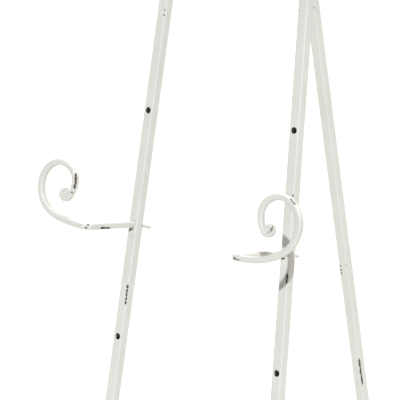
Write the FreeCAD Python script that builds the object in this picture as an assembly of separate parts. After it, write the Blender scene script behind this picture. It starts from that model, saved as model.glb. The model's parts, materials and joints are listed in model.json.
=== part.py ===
import FreeCAD, Part
import math
import os

# Folding display easel of square steel tube with two scroll hooks that plug into peg holes.
# Units are millimetres. +Z is up, the front of the easel faces -Y, and the floor is Z = 0.
# The front frame is drawn flat and upright, with X = 0 between the legs and W = 0 at the
# hook holes, and is then leaned back about the line through those holes.

# --- driving dimensions -------------------------------------------------------------
TUBE = 16.0                # outside width of the square tube
TUBE_WALL = 1.2
TUBE_CORNER = 2.2          # outside corner radius of the tube
HOOK_HOLE_HEIGHT = 700.0   # hook holes above the floor
HALF_SPACING = 146.5       # leg axis from the middle, at the hook holes
CONVERGE_DEG = 2.5         # each front leg leans inwards
LEAN_DEG = 9.5             # the front frame leans back
REAR_LEAN_DEG = 13.3       # the rear leg's slope from upright, opened
REAR_CROSSING = 843.0      # where the rear leg's axis crosses the frame, above the hook holes
PEG_PITCH = 179.0          # spacing of the peg holes along a leg
PEG_HOLE_R = 5.0
FRAME_TOP = 832.0          # top of the front legs, along the frame from the hook holes
LOWER_BAR_W = -385.0       # lower crossbar, along the frame from the hook holes
END_GAP = 9.0              # tube end to the floor, along a leg

FOOT_WIDTH = 22.0
FOOT_CORNER = 4.0
FOOT_GRIP = 24.0           # how far a rubber foot reaches up the tube
CAP_FLANGE = 2.5
CAP_PLUG = 12.0

PIVOT_BEHIND = 20.8        # hinge bolt behind the frame's middle plane
BOLT_R = 3.0
PIVOT_CLEARANCE = 0.08
REAR_LEG_TOP = 8.0         # rear leg beyond the hinge bolt: its corner rests on the bracket
BRACKET_PLATE = 2.0
BRACKET_HALF_HEIGHT = 14.0
EAR_INSIDE = 9.4
EAR_THICK = 2.4
EAR_R = 9.0
SPACER_THICK = 1.0
SPACER_R = 6.0
WASHER_THICK = 1.2
WASHER_R = 6.5
HEX_FLATS = 10.0
HEAD_HEIGHT = 4.0
NUT_HEIGHT = 5.0

BAR = 9.4                  # square bar of the hooks and crest
BAR_CORNER = 2.4
SHANK_REACH = 124.0        # hook bend in front of the leg's axis
SHANK_GAP = 0.9            # shank end to the leg's front face
SHANK_TOE_DEG = 3.5        # shanks point slightly towards the middle
SHANK_HEIGHT = {"left": 0.0, "right": -2.0}     # shank axis at the leg, from the peg hole
SHANK_SAG_DEG = {"left": 0.65, "right": 1.2}    # each hook droops at the front by this much
BEND_R = 9.0               # centre line of the bend from shank to scroll

# Scrolls are chains of tangent arcs, each a centre line radius and a turn in degrees.
# The hooks are bent by hand, so the two differ a little.
HOOK_ARCS = {
    "left": [(18.0, 5.0), (499.0, 5.0), (67.5, 26.0), (42.7, 55.0), (39.2, 65.0),
             (35.0, 65.0), (22.9, 55.0), (47.8, 31.0)],
    "right": [(90.0, 1.2), (308.0, 5.0), (110.7, 26.0), (49.5, 55.0), (36.8, 65.0),
              (33.8, 65.0), (27.5, 55.0), (40.8, 35.0)],
}
CREST_ARCS = [(316.0, 9.0), (85.0, 26.0), (46.5, 55.0), (38.0, 65.0), (37.5, 65.0),
              (27.0, 55.0), (38.0, 33.0)]
ROLL_R = 8.5               # the end is rolled round a core: centre line radius of the roll
ROLL_TIP_R = 6.3           # and where it closes in on the core
ROLL_TURN = 120.0          # turn of each of those two arcs
SCROLL_TAPER_FROM = 0.72   # share of the scroll's length where the bar starts to thin
SCROLL_TIP = 0.54          # thickness of the tip as a share of the bar
CORE_R = {"closed": 6.0, "open": 5.9}
CORE_SHIFT = {"closed": 0.0, "open": 0.6}       # an open roll keeps a crescent gap
CORE_RECESS = 0.4          # the core sits a little below the bar's faces
ARC_STEP_DEG = 5.0
ARC_STEP = 8.0

PIN_R = 2.3
# Line of each hook's tail, from inside the bar to its tip: distance in front of the leg's
# axis and height above the peg hole's axis.
PIN_LINE = {
    "left": [(22.9, -0.11), (8.9, 0.05), (-38.5, -6.4)],
    "right": [(22.9, -0.64), (8.9, -0.35), (-8.0, -2.2), (-25.5, -6.9)],
}

CREST_SCALE = 0.80
CREST_GAP = 0.15           # half the gap between the two crest scrolls
COLLAR_WALL = 2.4
COLLAR_HEIGHT = 12.0
COLLAR_ABOVE_BAR = 4.0
COLLAR_SPREAD = 0.7        # room inside the collar where the scrolls start to part

X_AXIS = FreeCAD.Vector(1, 0, 0)
Y_AXIS = FreeCAD.Vector(0, 1, 0)
Z_AXIS = FreeCAD.Vector(0, 0, 1)
ORIGIN = FreeCAD.Vector(0, 0, 0)


def vec(x, y, z):
    return FreeCAD.Vector(x, y, z)


def sin_deg(angle):
    return math.sin(math.radians(angle))


def cos_deg(angle):
    return math.cos(math.radians(angle))


def tan_deg(angle):
    return math.tan(math.radians(angle))


# --- derived positions --------------------------------------------------------------
HALF = TUBE / 2
LEG_TO_FLOOR = HOOK_HOLE_HEIGHT / (cos_deg(CONVERGE_DEG) * cos_deg(LEAN_DEG))
OPENING_DEG = LEAN_DEG + REAR_LEAN_DEG
PIVOT_ALONG_REAR = PIVOT_BEHIND / sin_deg(OPENING_DEG)
PIVOT_W = REAR_CROSSING / cos_deg(LEAN_DEG) - PIVOT_ALONG_REAR * cos_deg(OPENING_DEG)
SIDES = {"left": -1, "right": 1}


# --- placing ------------------------------------------------------------------------
def lean(shape):
    """From the flat frame drawing to the leaned frame, standing on the floor."""
    placed = shape.copy()
    placed.rotate(ORIGIN, X_AXIS, -LEAN_DEG)
    placed.translate(vec(0, 0, HOOK_HOLE_HEIGHT))
    return placed


def lean_point(x, y, w):
    """A point of the flat frame drawing, in the standing easel."""
    return vec(x, y * cos_deg(LEAN_DEG) + w * sin_deg(LEAN_DEG),
               w * cos_deg(LEAN_DEG) - y * sin_deg(LEAN_DEG) + HOOK_HOLE_HEIGHT)


def along_leg(shape, side):
    """From a leg drawn upright on the Z axis to its place in the flat frame drawing."""
    placed = shape.copy()
    placed.rotate(ORIGIN, Y_AXIS, -SIDES[side] * CONVERGE_DEG)
    placed.translate(vec(SIDES[side] * HALF_SPACING, 0, 0))
    return placed


PIVOT = lean_point(0, PIVOT_BEHIND, PIVOT_W)
REAR_TO_FLOOR = PIVOT.z / cos_deg(REAR_LEAN_DEG)


def along_rear_leg(shape):
    """From the rear leg drawn upright, with the hinge bolt at the origin, to its place."""
    placed = shape.copy()
    placed.rotate(ORIGIN, X_AXIS, REAR_LEAN_DEG)
    placed.translate(PIVOT)
    return placed


# --- basic solids -------------------------------------------------------------------
def rounded_square(width, corner, z):
    """A square face with round corners, centred on the Z axis."""
    half = width / 2
    straight = half - corner
    edges = []
    for quarter in range(4):
        mid = corner * math.sqrt(0.5)
        start = vec(half, straight, z)
        middle = vec(straight + mid, straight + mid, z)
        end = vec(straight, half, z)
        arc = Part.Arc(start, middle, end).toShape()
        side = Part.LineSegment(end, vec(-straight, half, z)).toShape()
        for edge in (arc, side):
            edge.rotate(ORIGIN, Z_AXIS, 90 * quarter)
            edges.append(edge)
    return Part.Face(Part.Wire(edges))


def rounded_prism(width, corner, bottom, top):
    return rounded_square(width, corner, bottom).extrude(vec(0, 0, top - bottom))


def square_tube(bottom, top):
    outside = rounded_prism(TUBE, TUBE_CORNER, bottom, top)
    inside = rounded_prism(TUBE - 2 * TUBE_WALL, TUBE_CORNER - TUBE_WALL, bottom, top)
    return outside.cut(inside)


def cylinder(radius, start, end):
    axis = end.sub(start)
    return Part.makeCylinder(radius, axis.Length, start, axis)


def hexagon(flats, x_from, x_to):
    """A hexagonal prism along X, centred on the X axis."""
    corner = flats / math.sqrt(3)
    points = []
    for i in range(7):
        points.append(vec(x_from, corner * sin_deg(60 * i), corner * cos_deg(60 * i)))
    return Part.Face(Part.makePolygon(points)).extrude(vec(x_to - x_from, 0, 0))


def block(low, high):
    size = high.sub(low)
    return Part.makeBox(size.x, size.y, size.z, low)


# --- front frame --------------------------------------------------------------------
def front_leg(side):
    bottom = END_GAP - LEG_TO_FLOOR
    tube = square_tube(bottom, FRAME_TOP)
    for row in (-1, 0, 1):
        height = row * PEG_PITCH
        tube = tube.cut(cylinder(PEG_HOLE_R, vec(0, -TUBE, height), vec(0, TUBE, height)))
    return lean(along_leg(tube, side))


def leg_outside(side):
    """The leg as a full bar, used to cope the crossbars."""
    return along_leg(rounded_prism(TUBE, TUBE_CORNER, -LEG_TO_FLOOR, FRAME_TOP), side)


def crossbar(w):
    half_length = HALF_SPACING - w * tan_deg(CONVERGE_DEG)
    bar = square_tube(-half_length, half_length)
    bar.rotate(ORIGIN, Y_AXIS, 90)
    bar.translate(vec(0, 0, w))
    for side in SIDES:
        bar = bar.cut(leg_outside(side))
    return lean(bar)


def foot_blank(to_floor):
    """A rubber foot on a tube drawn along Z, before its sole is cut level."""
    tube_end = END_GAP - to_floor
    sole = -to_floor - FOOT_WIDTH / 2
    top = tube_end + FOOT_GRIP
    sleeve = rounded_prism(FOOT_WIDTH, FOOT_CORNER, sole, top)
    lip = [edge for edge in sleeve.Edges if edge.BoundBox.ZMin > top - 0.01]
    sleeve = sleeve.makeFillet(1.5, lip)
    socket = rounded_prism(TUBE, TUBE_CORNER, tube_end, top)
    return sleeve.cut(socket)


def level_sole(foot):
    below = block(vec(-1000, -1000, -200), vec(1000, 1000, 0))
    return foot.cut(below)


def front_foot(side):
    return level_sole(lean(along_leg(foot_blank(LEG_TO_FLOOR), side)))


def top_cap():
    """A flanged end cap for a tube whose end is at Z = 0."""
    flange = rounded_prism(TUBE, TUBE_CORNER, 0, CAP_FLANGE)
    rim = [edge for edge in flange.Edges if edge.BoundBox.ZMin > CAP_FLANGE - 0.01]
    flange = flange.makeFillet(1.0, rim)
    inside = TUBE - 2 * TUBE_WALL
    plug = rounded_prism(inside, TUBE_CORNER - TUBE_WALL, -CAP_PLUG, 0)
    return flange.fuse(plug).removeSplitter()


def leg_cap(side):
    cap = top_cap()
    cap.translate(vec(0, 0, FRAME_TOP))
    return lean(along_leg(cap, side))


# --- hinge --------------------------------------------------------------------------
def hinge_bracket():
    """A channel welded on the back of the top crossbar; its ears carry the bolt."""
    ear_outside = EAR_INSIDE + EAR_THICK
    low = vec(-ear_outside, HALF, PIVOT_W - BRACKET_HALF_HEIGHT)
    high = vec(ear_outside, HALF + BRACKET_PLATE, PIVOT_W + BRACKET_HALF_HEIGHT)
    bracket = block(low, high)
    for side in (-1, 1):
        x_inner = side * EAR_INSIDE
        x_outer = side * ear_outside
        flat = block(vec(min(x_inner, x_outer), HALF, PIVOT_W - EAR_R),
                     vec(max(x_inner, x_outer), PIVOT_BEHIND, PIVOT_W + EAR_R))
        round_end = cylinder(EAR_R, vec(x_inner, PIVOT_BEHIND, PIVOT_W),
                             vec(x_outer, PIVOT_BEHIND, PIVOT_W))
        bracket = bracket.fuse(flat.fuse(round_end))
    hole = cylinder(BOLT_R, vec(-TUBE, PIVOT_BEHIND, PIVOT_W),
                    vec(TUBE, PIVOT_BEHIND, PIVOT_W))
    return lean(bracket.removeSplitter().cut(hole))


def ring(radius, hole, x_from, x_to):
    outside = cylinder(radius, vec(x_from, 0, 0), vec(x_to, 0, 0))
    return outside.cut(cylinder(hole, vec(x_from, 0, 0), vec(x_to, 0, 0)))


def at_pivot(shape):
    shape.translate(PIVOT)
    return shape


EAR_OUTSIDE = EAR_INSIDE + EAR_THICK
STACK = EAR_OUTSIDE + WASHER_THICK


def hinge_washers():
    left = ring(WASHER_R, BOLT_R, -STACK, -EAR_OUTSIDE)
    right = ring(WASHER_R, BOLT_R, EAR_OUTSIDE, STACK)
    return at_pivot(Part.makeCompound([left, right]))


def hinge_spacers():
    left = ring(SPACER_R, BOLT_R, -EAR_INSIDE, SPACER_THICK - EAR_INSIDE)
    right = ring(SPACER_R, BOLT_R, EAR_INSIDE - SPACER_THICK, EAR_INSIDE)
    return at_pivot(Part.makeCompound([left, right]))


def hinge_bolt():
    """Hexagon head on the left, plain shank through to the nut."""
    head = hexagon(HEX_FLATS, -STACK - HEAD_HEIGHT, -STACK)
    crown = Part.makeCone(HEX_FLATS / 2, HEX_FLATS / 2 + HEAD_HEIGHT * 2,
                          HEAD_HEIGHT, vec(-STACK - HEAD_HEIGHT, 0, 0), X_AXIS)
    head = head.common(crown)
    shank = cylinder(BOLT_R, vec(-STACK, 0, 0), vec(STACK + NUT_HEIGHT, 0, 0))
    return at_pivot(head.fuse(shank).removeSplitter())


def hinge_nut():
    """Dome nut on the right end of the bolt."""
    nut_end = STACK + NUT_HEIGHT
    body = hexagon(HEX_FLATS, STACK, nut_end)
    dome = Part.makeSphere(HEX_FLATS / 2 - 0.3, vec(nut_end, 0, 0), X_AXIS, 0, 90, 360)
    nut = body.fuse(dome)
    return at_pivot(nut.cut(cylinder(BOLT_R, vec(STACK, 0, 0), vec(nut_end, 0, 0))))


# --- rear leg -----------------------------------------------------------------------
def rear_leg():
    tube = square_tube(END_GAP - REAR_TO_FLOOR, REAR_LEG_TOP)
    hole_r = BOLT_R + PIVOT_CLEARANCE
    return along_rear_leg(tube.cut(cylinder(hole_r, vec(-TUBE, 0, 0), vec(TUBE, 0, 0))))


def rear_foot():
    return level_sole(along_rear_leg(foot_blank(REAR_TO_FLOOR)))


def rear_leg_cap():
    """A plug that sits flush in the top end, above the bolt."""
    inside = TUBE - 2 * TUBE_WALL
    plug_bottom = BOLT_R + PIVOT_CLEARANCE + 0.6
    plug = rounded_prism(inside, TUBE_CORNER - TUBE_WALL, plug_bottom, REAR_LEG_TOP)
    return along_rear_leg(plug)


# --- scrolls ------------------------------------------------------------------------
def scroll_line(arcs):
    """Points, headings in degrees and run lengths along a chain of tangent arcs."""
    x, z, heading, run = 0.0, 0.0, 0.0, 0.0
    line = [(x, z, heading, run)]
    for radius, turn in arcs:
        length = radius * math.radians(turn)
        steps = max(round(turn / ARC_STEP_DEG), math.ceil(length / ARC_STEP))
        step = turn / steps
        chord = 2 * radius * sin_deg(step / 2)
        for _ in range(steps):
            x += chord * cos_deg(heading + step / 2)
            z += chord * sin_deg(heading + step / 2)
            heading += step
            run += length / steps
            line.append((x, z, heading, run))
    return line


def spline_edge(points):
    curve = Part.BSplineCurve()
    curve.interpolate(points)
    return curve.toShape()


def scroll_band(arcs, bar, scale):
    """A flat scroll in the XZ plane that starts at the origin along +X and curls upwards.

    Its bar is square and thins towards the tip in the plane of the scroll.
    """
    line = scroll_line([(radius * scale, turn) for radius, turn in arcs])
    length = line[-1][3]
    outer = []
    inner = []
    for x, z, heading, run in line:
        thinning = max(0.0, run / length - SCROLL_TAPER_FROM) / (1 - SCROLL_TAPER_FROM)
        half = bar / 2 * (1 - (1 - SCROLL_TIP) * thinning)
        outer.append(vec(x + half * sin_deg(heading), -bar / 2, z - half * cos_deg(heading)))
        inner.append(vec(x - half * sin_deg(heading), -bar / 2, z + half * cos_deg(heading)))
    outer_edge = spline_edge(outer)
    inner_edge = spline_edge(inner)
    start_edge = Part.LineSegment(inner[0], outer[0]).toShape()
    tip_edge = Part.LineSegment(outer[-1], inner[-1]).toShape()
    face = Part.Face(Part.Wire([start_edge, outer_edge, tip_edge, inner_edge]))
    band = face.extrude(vec(0, bar, 0))
    across = bar * 1.5
    long_edges = [edge for edge in band.Edges if edge.Length > across]
    return band.makeFillet(BAR_CORNER * bar / BAR, long_edges)


def rolled_scroll(arcs, bar, scale, roll):
    """A scroll whose thinned end is rolled round a solid core; the roll is closed or open."""
    end_x, end_z, heading, _ = scroll_line([(r * scale, turn) for r, turn in arcs])[-1]
    centre_x = end_x - ROLL_R * scale * sin_deg(heading) - CORE_SHIFT[roll] * scale
    centre_z = end_z + ROLL_R * scale * cos_deg(heading)
    half_depth = bar / 2 - CORE_RECESS
    core = cylinder(CORE_R[roll] * scale, vec(centre_x, -half_depth, centre_z),
                    vec(centre_x, half_depth, centre_z))
    band = scroll_band(arcs + [(ROLL_R, ROLL_TURN), (ROLL_TIP_R, ROLL_TURN)], bar, scale)
    return band.fuse(core)


# --- hooks --------------------------------------------------------------------------
def hook_point(side, out, up):
    """A point on the toed-in line of a hook, out in front of the leg's axis."""
    return vec(-SIDES[side] * out * tan_deg(SHANK_TOE_DEG), -out, up)


def mirror_for(shape, side):
    """Hooks are drawn for the right side; the left one is the mirror image."""
    if side == "left":
        return shape.mirror(ORIGIN, X_AXIS)
    return shape


def in_peg_hole(shape, side):
    """From a hook drawn about its peg hole to its place on the leaned frame."""
    placed = shape.copy()
    placed.translate(vec(SIDES[side] * HALF_SPACING, 0, 0))
    return lean(placed)


def bent_bar(side):
    """Shank, bend and scroll of one hook as one bar, drawn for the right side."""
    start = hook_point("right", HALF + SHANK_GAP, SHANK_HEIGHT[side])
    corner = hook_point("right", SHANK_REACH, SHANK_HEIGHT[side])
    turn = 90 + SHANK_TOE_DEG
    setback = BEND_R * tan_deg(turn / 2)
    direction = corner.sub(start)
    direction.normalize()
    shank_end = corner.sub(direction * setback)
    shank = upright_section(start, direction).extrude(shank_end.sub(start))
    centre = shank_end.add(vec(BEND_R * cos_deg(SHANK_TOE_DEG), -BEND_R * sin_deg(SHANK_TOE_DEG), 0))
    bend = upright_section(shank_end, direction).revolve(centre, Z_AXIS, turn)
    roll = "closed" if side == "left" else "open"
    scroll = rolled_scroll(HOOK_ARCS[side], BAR, 1.0, roll)
    scroll.translate(vec(centre.x, centre.y - BEND_R, shank_end.z))
    bar = shank.fuse(bend).fuse(scroll)
    bar.rotate(start, X_AXIS, SHANK_SAG_DEG[side])
    return bar


def upright_section(at, along):
    """The bar's section at a point, square to a direction and with level edges."""
    section = rounded_square(BAR, BAR_CORNER, 0)
    section.rotate(ORIGIN, X_AXIS, 90)
    yaw = math.degrees(math.atan2(along.x, -along.y))
    section.rotate(ORIGIN, Z_AXIS, yaw)
    section.translate(at)
    return section


def hook_pin_blank(side):
    """The right hook's round tail: straight runs joined by round bends."""
    points = [hook_point("right", out, up) for out, up in PIN_LINE[side]]
    blank = cylinder(PIN_R, points[0], points[1])
    for bend, end in zip(points[1:], points[2:]):
        blank = blank.fuse(Part.makeSphere(PIN_R, bend))
        blank = blank.fuse(cylinder(PIN_R, bend, end))
    return blank.removeSplitter()


def hook_bar(side):
    bar = bent_bar(side).cut(hook_pin_blank(side))
    return in_peg_hole(mirror_for(bar, side), side)


def hook_pin(side):
    pin = hook_pin_blank(side)
    back = hook_point("right", *PIN_LINE[side][-1])
    tip = [edge for edge in pin.Edges if edge.BoundBox.Center.sub(back).Length < 0.5]
    pin = pin.makeFillet(PIN_R * 0.6, tip)
    return in_peg_hole(mirror_for(pin, side), side)


# --- crest --------------------------------------------------------------------------
def crest_scroll(side):
    """A smaller scroll that stands on the top crossbar and curls outwards."""
    bar = BAR * CREST_SCALE
    scroll = rolled_scroll(CREST_ARCS, bar, CREST_SCALE, "closed")
    scroll.rotate(ORIGIN, Y_AXIS, -90)
    scroll = scroll.mirror(ORIGIN, X_AXIS)
    scroll.translate(vec(bar / 2 + CREST_GAP, 0, PIVOT_W + HALF))
    return lean(mirror_for(scroll, side))


def crest_collar():
    """A band wrapped round both crest scrolls just above the crossbar."""
    bar = BAR * CREST_SCALE
    base = PIVOT_W + HALF + COLLAR_ABOVE_BAR
    half_x = bar + CREST_GAP + COLLAR_SPREAD
    half_y = bar / 2
    inner = block(vec(-half_x, -half_y, base), vec(half_x, half_y, base + COLLAR_HEIGHT))
    outer = block(vec(-half_x - COLLAR_WALL, -half_y - COLLAR_WALL, base),
                  vec(half_x + COLLAR_WALL, half_y + COLLAR_WALL, base + COLLAR_HEIGHT))
    outer = outer.makeFillet(1.0, outer.Edges)
    return lean(outer.cut(inner))


# --- assembly -----------------------------------------------------------------------
def easel():
    nodes = {
        "top_crossbar": crossbar(PIVOT_W),
        "lower_crossbar": crossbar(LOWER_BAR_W),
        "hinge_bracket": hinge_bracket(),
        "hinge_bolt": hinge_bolt(),
        "hinge_nut": hinge_nut(),
        "hinge_washers": hinge_washers(),
        "hinge_spacers": hinge_spacers(),
        "rear_leg": rear_leg(),
        "rear_foot": rear_foot(),
        "rear_leg_cap": rear_leg_cap(),
        "crest_collar": crest_collar(),
    }
    for side in SIDES:
        nodes[side + "_front_leg"] = front_leg(side)
        nodes[side + "_front_foot"] = front_foot(side)
        nodes[side + "_leg_cap"] = leg_cap(side)
        nodes[side + "_crest_scroll"] = crest_scroll(side)
        nodes[side + "_hook_bar"] = hook_bar(side)
        nodes[side + "_hook_pin"] = hook_pin(side)
    return nodes


def centre_on_footprint(nodes):
    """Moves everything so that the easel's box is centred on the origin, front to back."""
    boxes = [shape.optimalBoundingBox(False) for shape in nodes.values()]
    front = min(box.YMin for box in boxes)
    back = max(box.YMax for box in boxes)
    for shape in nodes.values():
        shape.translate(vec(0, -(front + back) / 2, 0))
    return -(front + back) / 2


def main():
    os.makedirs("parts", exist_ok=True)
    nodes = easel()
    shift = centre_on_footprint(nodes)
    for name, shape in nodes.items():
        if not shape.isValid():
            print("not valid:", name)
        shape.exportStep("parts/" + name + ".step")
    print("shift", round(shift, 3), "pivot", PIVOT, "pivot w", round(PIVOT_W, 2))


main()
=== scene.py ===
import json
import math

import bpy
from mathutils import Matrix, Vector


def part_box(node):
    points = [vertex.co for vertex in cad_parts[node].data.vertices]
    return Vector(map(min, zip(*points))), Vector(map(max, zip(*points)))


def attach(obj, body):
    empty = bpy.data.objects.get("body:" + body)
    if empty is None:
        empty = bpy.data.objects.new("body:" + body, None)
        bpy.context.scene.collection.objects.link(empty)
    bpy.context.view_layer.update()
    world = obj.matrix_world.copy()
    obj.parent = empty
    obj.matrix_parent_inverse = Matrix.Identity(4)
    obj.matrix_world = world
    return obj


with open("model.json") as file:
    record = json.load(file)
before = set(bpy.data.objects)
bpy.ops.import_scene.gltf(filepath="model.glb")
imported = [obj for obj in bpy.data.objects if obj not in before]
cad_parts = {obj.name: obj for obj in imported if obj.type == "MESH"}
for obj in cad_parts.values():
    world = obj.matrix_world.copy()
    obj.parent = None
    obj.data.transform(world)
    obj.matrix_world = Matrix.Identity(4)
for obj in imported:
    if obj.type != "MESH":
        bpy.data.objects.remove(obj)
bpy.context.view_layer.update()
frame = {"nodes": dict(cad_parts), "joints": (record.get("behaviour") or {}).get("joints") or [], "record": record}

# --- camera, floor and lamps, in metres, millimetres (a lens) and degrees --------------------
CAMERA_AZIMUTH = 38.48
CAMERA_ELEVATION = 12.47
CAMERA_DISTANCE = 2.9216
CAMERA_LENS = 173.7
CAMERA_SENSOR = 36.0
CAMERA_CLIP_END = 200.0
CAMERA_SIDE = -0.0191       # the view's middle, from the middle of the easel
CAMERA_RISE = 0.0558        # and above the hook holes
FLOOR_SIZE = 60.0
WORLD = 0.065
# Name, azimuth, elevation, strength, apparent angle, colour, and whether it lights the floor.
LAMPS = (
    ("key", 40, 33, 3.2, 1.3, (0.97, 0.985, 1.0), False),
    ("overhead", 180, 80, 3.75, 30, (1.0, 0.975, 0.895), True),
    ("behind", 225, 25, 0.9, 40, (1.0, 1.0, 1.0), False),
    ("fill", 105, 12, 0.10, 40, (1.0, 1.0, 1.0), True),
)

# --- places and directions, from the frame ---------------------------------------------------
SIDES = ((-1, "left"), (1, "right"))
RIGHT = Vector((1, 0, 0))
MOUNTS = {mount["name"]: mount for mount in frame["record"]["mounts"]}
PIVOT = Vector(next(joint["pos_m"] for joint in frame["joints"] if joint["type"] == "hinge"))


def mount_point(name):
    return Vector(MOUNTS[name]["pos_m"])


def hook_origin(name):
    """The hook hole of one leg: midway between the free peg holes above and below it."""
    return (mount_point(name + "_upper_peg_hole") + mount_point(name + "_lower_peg_hole")) / 2


def leg_up(name):
    """The direction up one front leg, along its row of peg holes."""
    row = mount_point(name + "_upper_peg_hole") - mount_point(name + "_lower_peg_hole")
    return row.normalized()


PEG_HOLE = MOUNTS["right_upper_peg_hole"]
OUT = Vector(PEG_HOLE["axis"]).normalized()
UP = OUT.cross(RIGHT)
FRAME_AXES = (RIGHT, OUT, UP)
MIDDLE = (hook_origin("left") + hook_origin("right")) / 2
HALF_SPACING = hook_origin("right").x
CONVERGE = math.asin(-leg_up("right").x)        # each front leg leans inwards
TUBE = PEG_HOLE["dims"]["length_mm"] / 1000
TUBE_HALF_MM = TUBE * 500
PEG_PITCH_MM = (mount_point("right_upper_peg_hole") - hook_origin("right")).length * 1000
PIVOT_W = (PIVOT - MIDDLE).dot(UP)
LOWER_BAR_W = (sum(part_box("lower_crossbar"), Vector()) / 2 - MIDDLE).dot(UP)
REAR_UP = (PIVOT - mount_point("rear_foot_sole")).normalized()
REAR_AXES = (RIGHT, REAR_UP.cross(RIGHT) * -1, REAR_UP)


def on_frame(x, out, up):
    """A point given across, out to the front and up from the middle between the hook holes."""
    return MIDDLE + RIGHT * x + OUT * out + UP * up


# --- marks in the paint ----------------------------------------------------------------------
def chip_row(first, last, count, half):
    """Equal chips in a straight row: each is its middle and then its three half sizes."""
    first, last = Vector(first), Vector(last)
    return [(*first.lerp(last, k / (count - 1)), *half) for k in range(count)]


# Chips, and painted contact shadow under the hook shanks, in millimetres from the hook hole (on
# the rear leg, from the hinge): across to the right, out to the front, up along the piece, and then their three
# half sizes.
CHIPS_AND_SHADOWS = {
    "left_front_leg": [
        *chip_row((6.5, 8, -98.5), (7, 8, -124), 5, (2.4, 1.6, 3.2)),     # down the corner
        *chip_row((5.5, 8, 335.5), (6, 8, 327.5), 2, (1.3, 1.5, 1.7)),    # two dots high up
        (8, -7.5, -1.5, 1.5, 1.6, 2.0),
        # Under the shank: these two are a chip and a painted contact shadow of the shank.
        (-3.5, 8, -10, 2.2, 1.5, 1.7),                                    # under the shank
        (0.5, 8, -8.5, 3.2, 1.5, 1.0),
    ],
    "right_front_leg": [
        *chip_row((6.5, 8, -34), (6, 8, -42), 2, (1.8, 1.6, 4.6)),
        (6.5, 8, 84, 1.3, 1.4, 2.0),
        (-6, 8, 353, 0.9, 1.4, 1.0),
        # Under the shank: a chip and a painted contact shadow of the shank.
        (-3, 8, -9.5, 3.2, 1.5, 1.2),
    ],
    "rear_leg": [
        *chip_row((-5.5, 8, -931.5), (-5.5, 8, -945), 3, (1.8, 1.5, 1.9)),
        *chip_row((8, 6.5, -1115), (8, 6, -1147), 3, (2.2, 2.1, 10.5)),
    ],
    "left_hook_bar": [
        *chip_row((-21, 128.5, 75), (-20, 128.5, 62), 3, (2.0, 2.6, 4.4)),
        (-21.5, 128.5, 56, 1.6, 2.6, 3.8),
        (-25.5, 128.5, 47, 1.2, 2.6, 1.4),
        (8.5, 123.5, 1.5, 2.4, 2.4, 1.4),                                 # at the bend
        (7, 125.5, -2.5, 2.4, 2.4, 1.3),
        *chip_row((10, 90, -3.5), (9.5, 78, -4), 2, (2.8, 7.0, 2.3)),     # under the shank
    ],
    "right_hook_bar": [
        *chip_row((84.5, 128.5, 90.5), (91.5, 128.5, 85), 4, (1.6, 2.6, 1.4)),
        (30.5, 127, 55.5, 2.6, 3.5, 2.0),
        (58, 128.5, 45.5, 1.1, 2.6, 5.0),
        *chip_row((-4, 127, -5.5), (5, 129, -6.5), 3, (3.0, 2.7, 1.1)),   # at the bend
        (4.5, 128.5, 1, 2.2, 2.5, 1.3),
    ],
}
# Bare rubbed patches: as the chips, then how strongly they show.
RUBS = {
    "left_front_leg": [(0.5, 8, -18, 6.5, 2.5, 6.5, 0.12)],
    "right_hook_bar": [(-3, 62, 1.5, 5.8, 13.0, 2.4, 0.90)],
}
# Paint that went in through the peg holes below the hooks: its middle and half sizes.
SPRAY_MM = (-7.0, 5.2, -4.0, 3.0, 3.6, 6.0)
INSIDE_MM = (1.1, 1.0)          # the tube's inside starts this far in from its outside
SHAKE_MM = 3.2                  # how far noise breaks up the marks' outlines
RANDOM_WEAR_MM = (350.0, 400.0)     # random wear fades in this far along a piece


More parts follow.
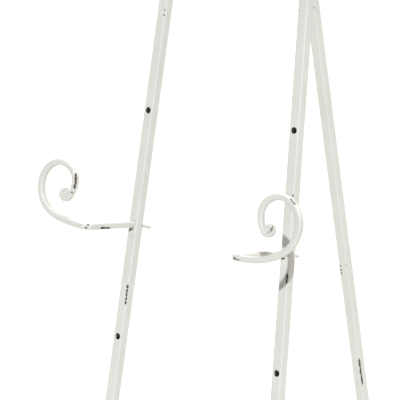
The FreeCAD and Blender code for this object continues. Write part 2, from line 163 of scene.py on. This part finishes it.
# --- node trees ------------------------------------------------------------------------------
class Tree:
    """Short words for building one material's nodes."""

    def __init__(self, name):
        self.material = bpy.data.materials.new(name)
        self.material.use_nodes = True
        self.nodes = self.material.node_tree.nodes
        self.links = self.material.node_tree.links
        self.shader = self.nodes["Principled BSDF"]
        place = self.nodes.new("ShaderNodeTexCoord")
        self.place = place.outputs["Object"]
        self.normal = place.outputs["Normal"]

    def put(self, socket, value):
        if isinstance(value, bpy.types.NodeSocket):
            self.links.new(value, socket)
        elif value is not None:
            socket.default_value = value

    def set(self, **values):
        for name, value in values.items():
            self.put(self.shader.inputs[name.replace("_", " ")], value)

    def number(self, operation, a, b=None):
        node = self.nodes.new("ShaderNodeMath")
        node.operation = operation
        self.put(node.inputs[0], a)
        self.put(node.inputs[1], b)
        return node.outputs[0]

    def vector(self, operation, a, b=None):
        node = self.nodes.new("ShaderNodeVectorMath")
        node.operation = operation
        self.put(node.inputs[0], a)
        self.put(node.inputs[1], b)
        single = operation in ("DOT_PRODUCT", "LENGTH", "DISTANCE")
        return node.outputs["Value" if single else "Vector"]

    def joined(self, x, y, z):
        node = self.nodes.new("ShaderNodeCombineXYZ")
        for socket, value in zip(node.inputs, (x, y, z)):
            self.put(socket, value)
        return node.outputs[0]

    def parts(self, vector):
        node = self.nodes.new("ShaderNodeSeparateXYZ")
        self.put(node.inputs[0], vector)
        return node.outputs[0], node.outputs[1], node.outputs[2]

    def noise(self, where, scale, detail=2.0, output=0):
        node = self.nodes.new("ShaderNodeTexNoise")
        self.put(node.inputs["Vector"], where)
        node.inputs["Scale"].default_value = scale
        node.inputs["Detail"].default_value = detail
        return node.outputs[output]

    def ramp(self, value, low, high, to_low=0.0, to_high=1.0):
        node = self.nodes.new("ShaderNodeMapRange")
        node.interpolation_type = "SMOOTHSTEP"
        self.put(node.inputs["Value"], value)
        for name, number in zip(("From Min", "From Max", "To Min", "To Max"),
                                (low, high, to_low, to_high)):
            node.inputs[name].default_value = number
        return node.outputs["Result"]

    def mixed(self, factor, a, b):
        node = self.nodes.new("ShaderNodeMix")
        node.data_type = "RGBA"
        self.put(node.inputs["Factor"], factor)
        self.put(node.inputs[6], a)
        self.put(node.inputs[7], b)
        return node.outputs[2]

    def bump(self, height, strength, distance):
        node = self.nodes.new("ShaderNodeBump")
        self.put(node.inputs["Height"], height)
        node.inputs["Strength"].default_value = strength
        node.inputs["Distance"].default_value = distance
        self.links.new(node.outputs[0], self.shader.inputs["Normal"])

    def local_mm(self, origin, axes):
        """The place in a piece's own directions, in millimetres."""
        offset = self.vector("SUBTRACT", self.place, tuple(origin))
        return self.joined(*[self.vector("DOT_PRODUCT", offset, tuple(axis * 1000))
                             for axis in axes])

    def facing(self, axis):
        return self.number("ABSOLUTE", self.vector("DOT_PRODUCT", self.normal, tuple(axis)))

    def spot(self, local, centre, half):
        """1 inside an ellipsoid, 0 outside it."""
        offset = self.vector("SUBTRACT", local, centre)
        reach = self.vector("LENGTH", self.vector("MULTIPLY", offset, tuple(1 / h for h in half)))
        return self.ramp(reach, 0.8, 1.15, 1.0, 0.0)

    def largest(self, values):
        total = values[0]
        for value in values[1:]:
            total = self.number("MAXIMUM", total, value)
        return total


PAINT_A = (0.610, 0.613, 0.597, 1)
PAINT_B = (0.575, 0.578, 0.560, 1)
# Edge colour: thin paint at the edges, darkened further as painted shade to dim their highlight.
THIN_PAINT_AND_SHADE = (0.535, 0.535, 0.518, 1)
# Dark bare metal for the chips, also used for the painted contact shadow under the shanks.
OXIDE_AND_SHADE_A = (0.030, 0.024, 0.018, 1)
OXIDE_AND_SHADE_B = (0.110, 0.092, 0.072, 1)
RUB = (0.300, 0.262, 0.220, 1)
HOLLOW = (0.012, 0.011, 0.010, 1)


def inside_of_tube(t, colour, local):
    """Darkens the inside of a tube, apart from paint that went in through a peg hole."""
    across, out, along = t.parts(local)
    row = t.number("FLOORED_MODULO", t.number("ADD", along, PEG_PITCH_MM * 1.5), PEG_PITCH_MM)
    row = t.number("SUBTRACT", row, PEG_PITCH_MM / 2)
    widest = t.number("MAXIMUM", t.number("ABSOLUTE", out), t.number("ABSOLUTE", across))
    low, high = (TUBE_HALF_MM - depth for depth in INSIDE_MM)
    inside = t.ramp(widest, low, high, 1.0, 0.0)
    spray = t.spot(t.joined(across, out, row), SPRAY_MM[:3], SPRAY_MM[3:])
    spray = t.number("MULTIPLY", spray, t.number("LESS_THAN", along, 0.0))
    return t.mixed(inside, colour, t.mixed(spray, HOLLOW, PAINT_A))


def hook_flatness(t, across, side):
    """1 on a hook bar's flat faces and less round its corners."""
    on_scroll = t.ramp(t.number("MULTIPLY", across, float(side)), 1.0, 3.0)
    on_shank = t.number("SUBTRACT", 1.0, on_scroll)
    main = t.number("ADD", t.number("MULTIPLY", t.facing(OUT), on_scroll),
                    t.number("MULTIPLY", t.facing(UP), on_shank))
    rest = t.number("SUBTRACT", 1.0, t.number("MULTIPLY", main, main))
    return t.number("MAXIMUM", main, t.number("SQRT", t.number("MAXIMUM", 0.0, rest)))


def painted(name, origin, axes, chips_and_shadows=(), rubs=(), tube=False, hook=0):
    """Off-white paint, brushed over steel, chipped to dark metal at the edges; the edges are also darkened as
    painted shade, and some marks are painted contact shadow.
    """
    t = Tree(name)
    local = t.local_mm(origin, axes)
    across, _, along = t.parts(local)
    broad = t.noise(t.place, 11.0, 3.0)
    fine = t.noise(t.place, 420.0, 3.0)
    tone = t.number("ADD", t.number("MULTIPLY", broad, 0.75), t.number("MULTIPLY", fine, 0.25))
    colour = t.mixed(t.ramp(tone, 0.38, 0.62), PAINT_A, PAINT_B)

    if hook:
        flat = hook_flatness(t, across, hook)
    else:
        flat = t.largest([t.facing(axis) for axis in axes])
    edge = t.ramp(flat, 0.80, 0.97, 1.0, 0.0)
    # The edges take the edge colour: partly thin paint, partly painted shade against their highlight.
    colour = t.mixed(t.number("MULTIPLY", edge, 0.75), colour, THIN_PAINT_AND_SHADE)

    shake = t.vector("SUBTRACT", t.noise(t.place, 330.0, 2.0, 1), (0.5, 0.5, 0.5))
    shaken = t.vector("ADD", local, t.vector("MULTIPLY", shake, (SHAKE_MM,) * 3))
    marks = [t.spot(shaken, chip_and_shadow[:3], chip_and_shadow[3:]) for chip_and_shadow in chips_and_shadows]
    away = t.ramp(t.number("ABSOLUTE", along), *RANDOM_WEAR_MM)
    behind = t.ramp(t.vector("DOT_PRODUCT", t.normal, tuple(axes[1])), -0.5, -0.1, 1.0, 0.0)
    where = t.number("MAXIMUM", away, behind)
    random_wear = t.ramp(t.noise(t.place, 95.0, 3.0), 0.665, 0.69)
    random_wear = t.number("MULTIPLY", t.number("MULTIPLY", random_wear, edge), where)
    marks.append(random_wear)
    chip_and_shadow = t.largest(marks)
    for rub in rubs:
        patch = t.spot(shaken, rub[:3], rub[3:6])
        patch = t.number("MULTIPLY", patch, t.ramp(t.noise(t.place, 520.0, 2.0), 0.25, 0.5))
        colour = t.mixed(t.number("MULTIPLY", patch, rub[6]), colour, RUB)
    # Dark metal fills the chips and the painted contact shadow under the shanks.
    metal_and_shade = t.mixed(t.noise(t.place, 700.0, 3.0), OXIDE_AND_SHADE_A, OXIDE_AND_SHADE_B)
    colour = t.mixed(chip_and_shadow, colour, metal_and_shade)

    if tube:
        colour = inside_of_tube(t, colour, local)

    rough = t.ramp(fine, 0.3, 0.7, 0.40, 0.52)
    rough = t.number("ADD", rough, t.number("MULTIPLY", chip_and_shadow, 0.25))
    brushed = t.number("MULTIPLY", t.noise(t.place, 130.0, 2.0), 1.6 if hook else 0.7)
    height = t.number("ADD", brushed, t.number("MULTIPLY", t.noise(t.place, 1500.0, 1.0), 0.25))
    height = t.number("SUBTRACT", height, t.number("MULTIPLY", chip_and_shadow, 0.8))
    t.bump(height, 0.35, 0.0005)
    t.set(Base_Color=colour, Roughness=rough)
    return t.material


def zinc():
    t = Tree("zinc_steel")
    cloud = t.noise(t.place, 260.0, 4.0)
    grain = t.noise(t.place, 1800.0, 2.0)
    colour = t.mixed(t.ramp(cloud, 0.35, 0.65), (0.52, 0.52, 0.50, 1), (0.36, 0.37, 0.37, 1))
    facing = t.largest([t.facing(RIGHT), t.facing(OUT), t.facing(UP)])
    colour = t.mixed(t.ramp(facing, 0.80, 0.97, 0.5, 0.0), colour, (0.66, 0.65, 0.62, 1))
    t.bump(grain, 0.2, 0.0002)
    t.set(Base_Color=colour, Metallic=0.9, Roughness=t.ramp(cloud, 0.3, 0.7, 0.34, 0.5))
    return t.material


def moulded(name, light, dark, rough, scale):
    """Rubber or plastic: two tones, a fine grain, and paler rubbed edges."""
    t = Tree(name)
    cloud = t.noise(t.place, scale, 4.0)
    colour = t.mixed(t.ramp(cloud, 0.35, 0.65), light, dark)
    facing = t.largest([t.facing(RIGHT), t.facing(OUT), t.facing(UP)])
    worn = t.number("MULTIPLY", t.ramp(facing, 0.75, 0.95, 1.0, 0.0), t.ramp(cloud, 0.4, 0.6))
    pale = tuple(min(1.0, channel * 1.5 + 0.02) for channel in light[:3]) + (1,)
    colour = t.mixed(t.number("MULTIPLY", worn, 0.6), colour, pale)
    t.bump(t.noise(t.place, 1400.0, 2.0), 0.25, 0.0002)
    t.set(Base_Color=colour, Roughness=t.ramp(cloud, 0.3, 0.7, rough - 0.05, rough + 0.08))
    return t.material


def assign(material, *nodes):
    for node in nodes:
        obj = frame["nodes"][node]
        if not obj.material_slots:
            obj.data.materials.append(material)
        for slot in obj.material_slots:
            slot.material = material


# --- weld beads ------------------------------------------------------------------------------
BEAD_SIDES = 10
CROSSBAR_BEAD_R = 0.0015
BRACKET_BEAD_R = 0.0013
CREST_BEAD_R = 0.0011
BRACKET_HALF_WIDTH = 0.0118
BRACKET_BEAD_HALF = 0.0055
CREST_BEAD_HALF = (0.0077, 0.0038)


def bead(name, points, radius, material, closed=True):
    """A rippled weld bead along a line of points, with a round section."""
    sides = BEAD_SIDES
    count = len(points)
    rings = []
    for i, point in enumerate(points):
        before = points[i - 1] if (closed or i) else point
        after = points[(i + 1) % count] if (closed or i + 1 < count) else point
        along = (after - before).normalized()
        first = along.orthogonal() if abs(along.dot(OUT)) > 0.9 else along.cross(OUT).normalized()
        first = first.normalized()
        second = along.cross(first)
        swell = radius * (1 + 0.16 * math.sin(i * 2.1) + 0.05 * math.sin(i * 0.7))
        if not closed and i in (0, count - 1):
            swell = radius * 0.35
        rings.append([point + (first * math.cos(a) + second * math.sin(a)) * swell
                      for a in [2 * math.pi * k / sides for k in range(sides)]])
    vertices = [tuple(v) for ring in rings for v in ring]
    faces = []
    for i in range(count if closed else count - 1):
        j = (i + 1) % count
        for k in range(sides):
            m = (k + 1) % sides
            faces.append((i * sides + k, i * sides + m, j * sides + m, j * sides + k))
    if not closed:
        faces.append(tuple(range(sides))[::-1])
        faces.append(tuple((count - 1) * sides + k for k in range(sides)))
    mesh = bpy.data.meshes.new(name)
    mesh.from_pydata(vertices, [], faces)
    mesh.shade_smooth()
    mesh.materials.append(material)
    obj = bpy.data.objects.new(name, mesh)
    bpy.context.scene.collection.objects.link(obj)
    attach(obj, "frame")


def loop_points(half_a, half_b, corner, step):
    """Points round a rectangle with round corners, as (a, b) pairs."""
    points = []
    corners = ((1, 1, 0), (-1, 1, 90), (-1, -1, 180), (1, -1, 270))
    outline = []
    for sa, sb, start in corners:
        for k in range(5):
            angle = math.radians(start + 22.5 * k)
            outline.append((sa * (half_a - corner) + corner * math.cos(angle),
                            sb * (half_b - corner) + corner * math.sin(angle)))
    for i, (a, b) in enumerate(outline):
        c, d = outline[(i + 1) % len(outline)]
        pieces = max(1, round(math.hypot(c - a, d - b) / step))
        for k in range(pieces):
            points.append((a + (c - a) * k / pieces, b + (d - b) * k / pieces))
    return points


def crossbar_bead(name, side, w, material):
    slope = math.tan(CONVERGE)
    half = TUBE / 2
    points = []
    for out, up in loop_points(half, half, 0.0024, 0.0010):
        x = HALF_SPACING - (w + up) * slope - half / math.cos(CONVERGE)
        points.append(on_frame(side * x, out, w + up))
    bead(name, points, CROSSBAR_BEAD_R, material)


def line_points(a, b, step=0.0009):
    count = max(2, round((b - a).length / step))
    return [a.lerp(b, k / count) for k in range(count + 1)]


# --- stage, light and camera -----------------------------------------------------------------
def make_floor():
    half = FLOOR_SIZE / 2
    mesh = bpy.data.meshes.new("floor")
    corners = [(-half, -half, 0), (half, -half, 0), (half, half, 0), (-half, half, 0)]
    mesh.from_pydata(corners, [], [(0, 1, 2, 3)])
    floor = bpy.data.objects.new("floor", mesh)
    bpy.context.scene.collection.objects.link(floor)
    t = Tree("pale_floor")
    t.set(Base_Color=(0.93, 0.93, 0.93, 1), Roughness=0.9)
    mesh.materials.append(t.material)
    return floor


def make_world():
    world = bpy.data.worlds.new("studio")
    bpy.context.scene.world = world
    world.use_nodes = True
    background = world.node_tree.nodes["Background"]
    background.inputs["Color"].default_value = (1.0, 0.99, 0.96, 1)
    background.inputs["Strength"].default_value = WORLD


def direction(azimuth, elevation):
    """Towards a compass direction; azimuth 0 is straight in front."""
    a, e = math.radians(azimuth), math.radians(elevation)
    return Vector((math.sin(a) * math.cos(e), -math.cos(a) * math.cos(e), math.sin(e)))


def make_sun(name, azimuth, elevation, strength, angle, colour):
    """A distant lamp that shines from a compass direction."""
    data = bpy.data.lights.new(name, "SUN")
    data.energy = strength
    data.angle = math.radians(angle)
    data.color = colour
    lamp = bpy.data.objects.new(name, data)
    bpy.context.scene.collection.objects.link(lamp)
    lamp.rotation_mode = "QUATERNION"
    lamp.rotation_quaternion = direction(azimuth, elevation).to_track_quat("Z", "Y")
    return lamp


def spare(lamp, obj):
    """Keeps a lamp off one object, so that it casts no shadows there."""
    spared = bpy.data.collections.new("spared_by_" + lamp.name)
    spared.objects.link(obj)
    lamp.light_linking.receiver_collection = spared
    spared.collection_objects[0].light_linking.link_state = "EXCLUDE"


def make_camera():
    data = bpy.data.cameras.new("camera")
    data.sensor_width = CAMERA_SENSOR
    data.lens = CAMERA_LENS
    data.clip_end = CAMERA_CLIP_END
    camera = bpy.data.objects.new("camera", data)
    bpy.context.scene.collection.objects.link(camera)
    back = direction(CAMERA_AZIMUTH, CAMERA_ELEVATION)
    target = MIDDLE + Vector((CAMERA_SIDE, 0, CAMERA_RISE))
    camera.location = target + back * CAMERA_DISTANCE
    camera.rotation_mode = "QUATERNION"
    camera.rotation_quaternion = (-back).to_track_quat("-Z", "Y")
    bpy.context.scene.camera = camera


floor = make_floor()
make_world()
for lamp_name, azimuth, elevation, strength, angle, colour, lights_floor in LAMPS:
    lamp = make_sun(lamp_name, azimuth, elevation, strength, angle, colour)
    if not lights_floor:
        spare(lamp, floor)
make_camera()
bpy.context.scene.view_settings.view_transform = "Standard"

# --- finishes --------------------------------------------------------------------------------
plain = painted("paint_frame", MIDDLE, FRAME_AXES)
assign(plain, "top_crossbar", "lower_crossbar", "hinge_bracket", "crest_collar",
       "left_crest_scroll", "right_crest_scroll", "left_hook_pin", "right_hook_pin")
for side, name in SIDES:
    leg = name + "_front_leg"
    hook = name + "_hook_bar"
    across_leg = OUT.cross(leg_up(name)) * -1
    leg_axes = (across_leg, OUT, leg_up(name))
    assign(painted("paint_" + leg, hook_origin(name), leg_axes, CHIPS_AND_SHADOWS[leg],
                   RUBS.get(leg, ()), tube=True), leg)
    assign(painted("paint_" + hook, hook_origin(name), FRAME_AXES, CHIPS_AND_SHADOWS[hook],
                   RUBS.get(hook, ()), hook=side), hook)
    crossbar_bead("weld_top_" + name, side, PIVOT_W, plain)
    crossbar_bead("weld_lower_" + name, side, LOWER_BAR_W, plain)

assign(painted("paint_rear_leg", PIVOT, REAR_AXES, CHIPS_AND_SHADOWS["rear_leg"]), "rear_leg")
assign(zinc(), "hinge_bolt", "hinge_nut", "hinge_washers")
assign(moulded("spacer_nylon", (0.55, 0.55, 0.50, 1), (0.46, 0.46, 0.42, 1), 0.5, 300.0),
       "hinge_spacers")
assign(moulded("foot_rubber", (0.030, 0.029, 0.028, 1), (0.016, 0.016, 0.016, 1), 0.72, 160.0),
       "left_front_foot", "right_front_foot", "rear_foot")
assign(moulded("cap_plastic", (0.62, 0.62, 0.59, 1), (0.55, 0.55, 0.52, 1), 0.5, 220.0),
       "left_leg_cap", "right_leg_cap", "rear_leg_cap")

for side, name in SIDES:
    low, high = (on_frame(side * BRACKET_HALF_WIDTH, -TUBE / 2, PIVOT_W + rise)
                 for rise in (-BRACKET_BEAD_HALF, BRACKET_BEAD_HALF))
    bead("weld_bracket_" + name, line_points(low, high), BRACKET_BEAD_R, plain, closed=False)
base = [on_frame(x, out, PIVOT_W + TUBE / 2)
        for x, out in loop_points(*CREST_BEAD_HALF, 0.0015, 0.0009)]
bead("weld_crest", base, CREST_BEAD_R, plain)
